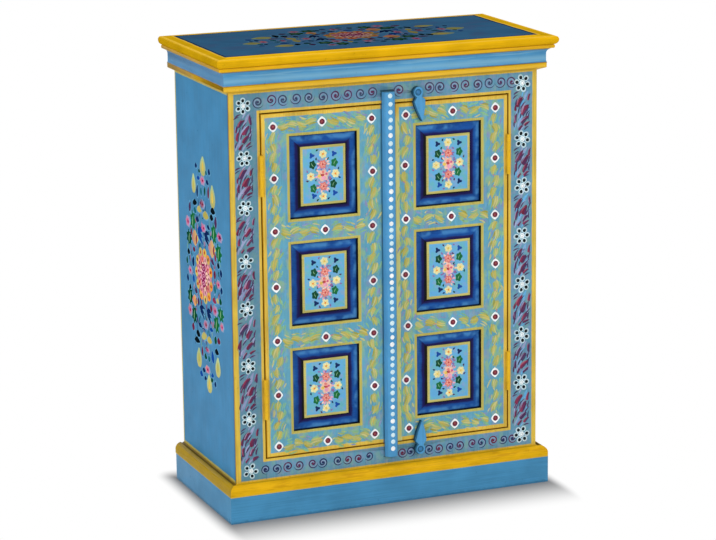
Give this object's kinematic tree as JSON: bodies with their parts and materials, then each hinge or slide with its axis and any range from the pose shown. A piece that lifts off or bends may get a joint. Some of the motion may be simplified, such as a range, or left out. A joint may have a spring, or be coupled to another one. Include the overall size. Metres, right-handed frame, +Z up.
{
  "type": "painted two-door cabinet",
  "caption": "Hand-painted wooden sideboard cabinet with framed doors, raised panels, a moulded cornice and a plinth; the doors swing open on butt hinges and turn buttons hold them shut.",
  "frame": {"origin": "on the floor, at the centre of the top board's outline seen from above", "axes": "+Z up, +X to the viewer's right when facing the doors, the doors face -Y"},
  "size_m": [0.678, 0.333, 0.8725],
  "materials": {
    "top_blue": "hand-painted dark blue, satin varnish",
    "cornice_blue": "painted blue cove with yellow bead and collar, satin",
    "yellow_moulding": "painted golden yellow, satin",
    "plinth_blue": "painted blue, satin",
    "side_blue": "painted blue, satin",
    "face_frame_blue": "painted grey-blue with yellow lines and flowers, satin",
    "door_teal": "painted teal with yellow brush leaves, satin",
    "panel_navy": "painted navy bevel with a light blue field, satin",
    "strip_blue": "painted blue, satin",
    "hinge_yellow": "painted over in golden yellow",
    "steel": "plain steel",
    "plain_wood": "stained, unpainted"
  },
  "bodies": {
    "cabinet": {"back_panel": "plain_wood", "bottom_board": "plain_wood", "bottom_rail": "face_frame_blue", "corner_blocks": "plain_wood", "cornice_front": "cornice_blue", "cornice_left": "cornice_blue", "cornice_right": "cornice_blue", "header_rail": "face_frame_blue", "hinge_pins": "steel", "left_frame_stile": "face_frame_blue", "left_lower_frame_leaf": "hinge_yellow", "left_shelf_cleat": "plain_wood", "left_side": "side_blue", "left_upper_frame_leaf": "hinge_yellow", "plinth_front": "plinth_blue", "plinth_left": "plinth_blue", "plinth_moulding_front": "yellow_moulding", "plinth_moulding_left": "yellow_moulding", "plinth_moulding_right": "yellow_moulding", "plinth_right": "plinth_blue", "rear_plinth_rail": "plain_wood", "rear_top_rail": "plain_wood", "right_frame_stile": "face_frame_blue", "right_lower_frame_leaf": "hinge_yellow", "right_shelf_cleat": "plain_wood", "right_side": "side_blue", "right_upper_frame_leaf": "hinge_yellow", "shelf": "plain_wood", "top_board": "top_blue", "turn_button_screws": "steel", "turn_button_washers": "steel"},
    "right_door": {"centre_strip": "strip_blue", "right_door_hinge_stile": "door_teal", "right_door_meeting_stile": "door_teal", "right_door_panel_1": "panel_navy", "right_door_panel_2": "panel_navy", "right_door_panel_3": "panel_navy", "right_door_rail_1": "door_teal", "right_door_rail_2": "door_teal", "right_door_rail_3": "door_teal", "right_door_rail_4": "door_teal", "right_lower_door_leaf": "hinge_yellow", "right_upper_door_leaf": "hinge_yellow"},
    "left_door": {"left_door_hinge_stile": "door_teal", "left_door_meeting_stile": "door_teal", "left_door_panel_1": "panel_navy", "left_door_panel_2": "panel_navy", "left_door_panel_3": "panel_navy", "left_door_rail_1": "door_teal", "left_door_rail_2": "door_teal", "left_door_rail_3": "door_teal", "left_door_rail_4": "door_teal", "left_lower_door_leaf": "hinge_yellow", "left_upper_door_leaf": "hinge_yellow"},
    "lower_button": {"lower_turn_button": "strip_blue"},
    "upper_button": {"upper_turn_button": "strip_blue"}
  },
  "joints": [
    {"name": "left_door_hinge", "type": "hinge", "parent": "cabinet", "child": "left_door", "pos_m": [-0.24763, -0.1404, 0.43965], "axis": [0, 0, -1], "range_deg": [0, 170]},
    {"name": "right_door_hinge", "type": "hinge", "parent": "cabinet", "child": "right_door", "pos_m": [0.24763, -0.1404, 0.43965], "axis": [0, 0, 1], "range_deg": [0, 170]},
    {"name": "upper_button_pivot", "type": "hinge", "parent": "cabinet", "child": "upper_button", "pos_m": [0.061, -0.1355, 0.7832], "axis": [0, -1, 0], "range_deg": [-56, 97]},
    {"name": "lower_button_pivot", "type": "hinge", "parent": "cabinet", "child": "lower_button", "pos_m": [0.061, -0.1355, 0.0961], "axis": [0, 1, 0], "range_deg": [-51, 102]}
  ]
}
